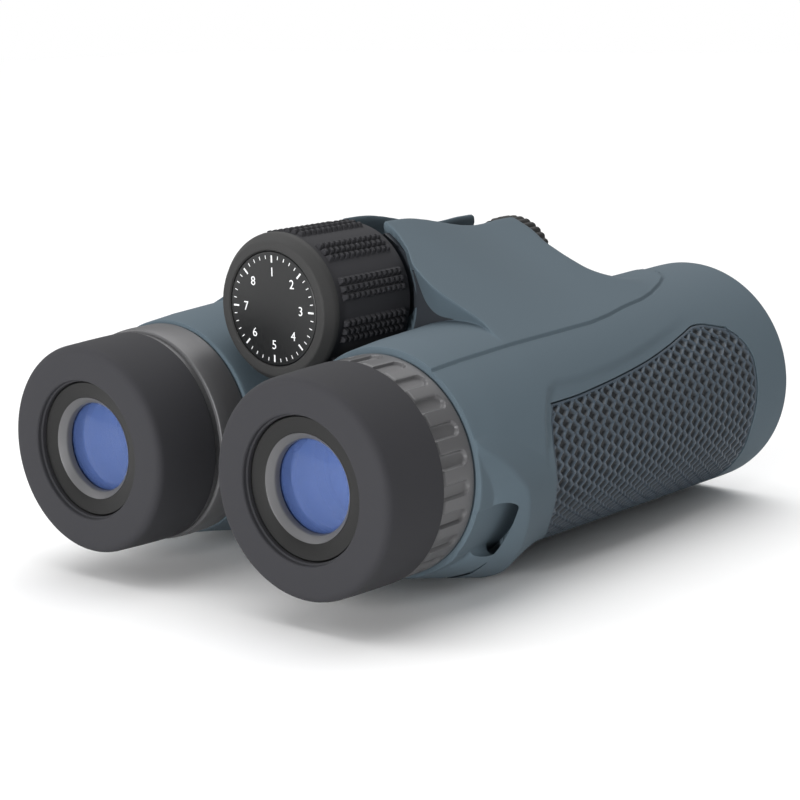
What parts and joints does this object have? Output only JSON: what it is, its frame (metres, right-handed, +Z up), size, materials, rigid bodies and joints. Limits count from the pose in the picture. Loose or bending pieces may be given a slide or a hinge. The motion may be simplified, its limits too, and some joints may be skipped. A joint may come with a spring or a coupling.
{
  "type": "binoculars",
  "caption": "Compact roof-prism binoculars with a folding bridge, centre focus wheel, dioptre ring, twist-up eyecups and rubber armour.",
  "frame": {"origin": "centre of the base of the bounding box, under the lowest rubber", "axes": "+Z up, +Y from the eyepieces to the objectives along the barrels, +X to the user's right; folded to the smallest eye spacing"},
  "size_m": [0.1058, 0.1338, 0.0677],
  "materials": {
    "armour_rubber": "matt blue-grey moulded rubber",
    "bezel_metal": "satin dark bevel",
    "black_anodised": "black anodised aluminium",
    "black_plastic": "matt black plastic",
    "black_rubber": "matt black soft rubber",
    "brass": "turned brass",
    "coated_glass": "anti-reflection coated optical glass",
    "housing_polymer": "glass-filled polycarbonate",
    "machined_steel": "turned steel",
    "prism_glass": "polished optical glass",
    "satin_graphite": "satin graphite metallic",
    "seal_rubber": "black seal rubber"
  },
  "bodies": {
    "left_half": {"left_housing": "housing_polymer", "left_armour": "armour_rubber", "left_grip_pad": "armour_rubber", "left_objective_cell": "black_anodised", "left_objective_lens": "coated_glass", "left_objective_seal": "seal_rubber", "left_objective_retainer": "black_anodised", "left_prism_cage": "housing_polymer", "left_roof_prism": "prism_glass", "left_half_prism": "prism_glass", "left_cage_screws": "machined_steel", "left_ocular_tube": "black_anodised", "left_eye_lens": "coated_glass", "left_eye_lens_bezel": "bezel_metal", "left_field_cell": "black_anodised", "left_field_lens": "coated_glass", "left_collar_ring": "satin_graphite", "hinge_shaft": "machined_steel", "hinge_nut": "machined_steel", "hinge_washers": "brass"},
    "right_half": {"right_housing": "housing_polymer", "right_armour": "armour_rubber", "right_grip_pad": "armour_rubber", "right_objective_cell": "black_anodised", "right_objective_lens": "coated_glass", "right_objective_seal": "seal_rubber", "right_objective_retainer": "black_anodised", "right_prism_cage": "housing_polymer", "right_roof_prism": "prism_glass", "right_half_prism": "prism_glass", "right_cage_screws": "machined_steel", "right_ocular_tube": "black_anodised", "right_eye_lens": "coated_glass", "right_eye_lens_bezel": "bezel_metal", "hinge_bush": "brass"},
    "focus_wheel": {"focus_wheel": "black_plastic", "focus_wheel_grip": "black_rubber", "focus_dial": "black_plastic", "focus_screw": "machined_steel"},
    "left_focus_carriage": {"left_focus_arm": "black_anodised", "left_focus_lens": "coated_glass", "left_focus_lens_ring": "black_anodised", "focus_nut": "brass", "focus_pin": "machined_steel"},
    "right_focus_carriage": {"right_focus_arm": "black_anodised", "right_focus_lens": "coated_glass", "right_focus_lens_ring": "black_anodised"},
    "diopter_ring": {"diopter_ring": "satin_graphite"},
    "diopter_cell": {"right_field_cell": "black_anodised", "right_field_lens": "coated_glass"},
    "left_eyecup_slip_ring": {"left_eyecup_slip_ring": "housing_polymer"},
    "left_eyecup": {"left_eyecup": "black_rubber"},
    "right_eyecup_slip_ring": {"right_eyecup_slip_ring": "housing_polymer"},
    "right_eyecup": {"right_eyecup": "black_rubber"},
    "tripod_cap_stud": {"tripod_cap_stud": "machined_steel"},
    "tripod_cap": {"tripod_cap": "black_plastic"}
  },
  "joints": [
    {"name": "eye_spacing", "type": "hinge", "parent": "left_half", "child": "right_half", "pos_m": [0, 0.0001, 0.05299], "axis": [0, -1, 0], "range_deg": [0, 38]},
    {"name": "focus_turn", "type": "hinge", "parent": "left_half", "child": "focus_wheel", "pos_m": [0, -0.0299, 0.05299], "axis": [0, 1, 0], "range_deg": [-270, 270]},
    {"name": "left_focus_slide", "type": "slide", "parent": "left_half", "child": "left_focus_carriage", "axis": [0, 1, 0], "range_m": [-0.00225, 0.00225]},
    {"name": "right_focus_slide", "type": "slide", "parent": "right_half", "child": "right_focus_carriage", "axis": [0, 1, 0], "range_m": [-0.00225, 0.00225]},
    {"name": "diopter_turn", "type": "hinge", "parent": "right_half", "child": "diopter_ring", "pos_m": [0.028, -0.0473, 0.02619], "axis": [0, 1, 0], "range_deg": [-40, 40]},
    {"name": "diopter_slide", "type": "slide", "parent": "right_half", "child": "diopter_cell", "axis": [0, 1, 0], "range_m": [-0.001, 0.001]},
    {"name": "tripod_cap_travel", "type": "slide", "parent": "left_half", "child": "tripod_cap_stud", "axis": [0, 1, 0], "range_m": [0, 0.00508]},
    {"name": "tripod_cap_turn", "type": "hinge", "parent": "tripod_cap_stud", "child": "tripod_cap", "pos_m": [0, 0.0371, 0.05299], "axis": [0, 1, 0], "range_deg": [0, 1440]},
    {"name": "left_eyecup_lift", "type": "slide", "parent": "left_half", "child": "left_eyecup_slip_ring", "axis": [0, -1, 0], "range_m": [0, 0.007]},
    {"name": "left_eyecup_turn", "type": "hinge", "parent": "left_eyecup_slip_ring", "child": "left_eyecup", "pos_m": [-0.028, -0.0599, 0.02619], "axis": [0, -1, 0], "range_deg": [0, 120]},
    {"name": "right_eyecup_lift", "type": "slide", "parent": "right_half", "child": "right_eyecup_slip_ring", "axis": [0, -1, 0], "range_m": [0, 0.007]},
    {"name": "right_eyecup_turn", "type": "hinge", "parent": "right_eyecup_slip_ring", "child": "right_eyecup", "pos_m": [0.028, -0.0599, 0.02619], "axis": [0, -1, 0], "range_deg": [0, 120]}
  ],
  "couplings": [
    {"joint": "left_focus_slide", "follows": "focus_turn", "m_per_rad": 0.00047746},
    {"joint": "right_focus_slide", "follows": "focus_turn", "m_per_rad": 0.00047746},
    {"joint": "diopter_slide", "follows": "diopter_turn", "m_per_rad": 0.0014324},
    {"joint": "tripod_cap_turn", "follows": "tripod_cap_travel", "rad_per_m": 4947.4},
    {"joint": "left_eyecup_lift", "follows": "left_eyecup_turn", "m_per_rad": 0.0033423},
    {"joint": "right_eyecup_lift", "follows": "right_eyecup_turn", "m_per_rad": 0.0033423}
  ]
}
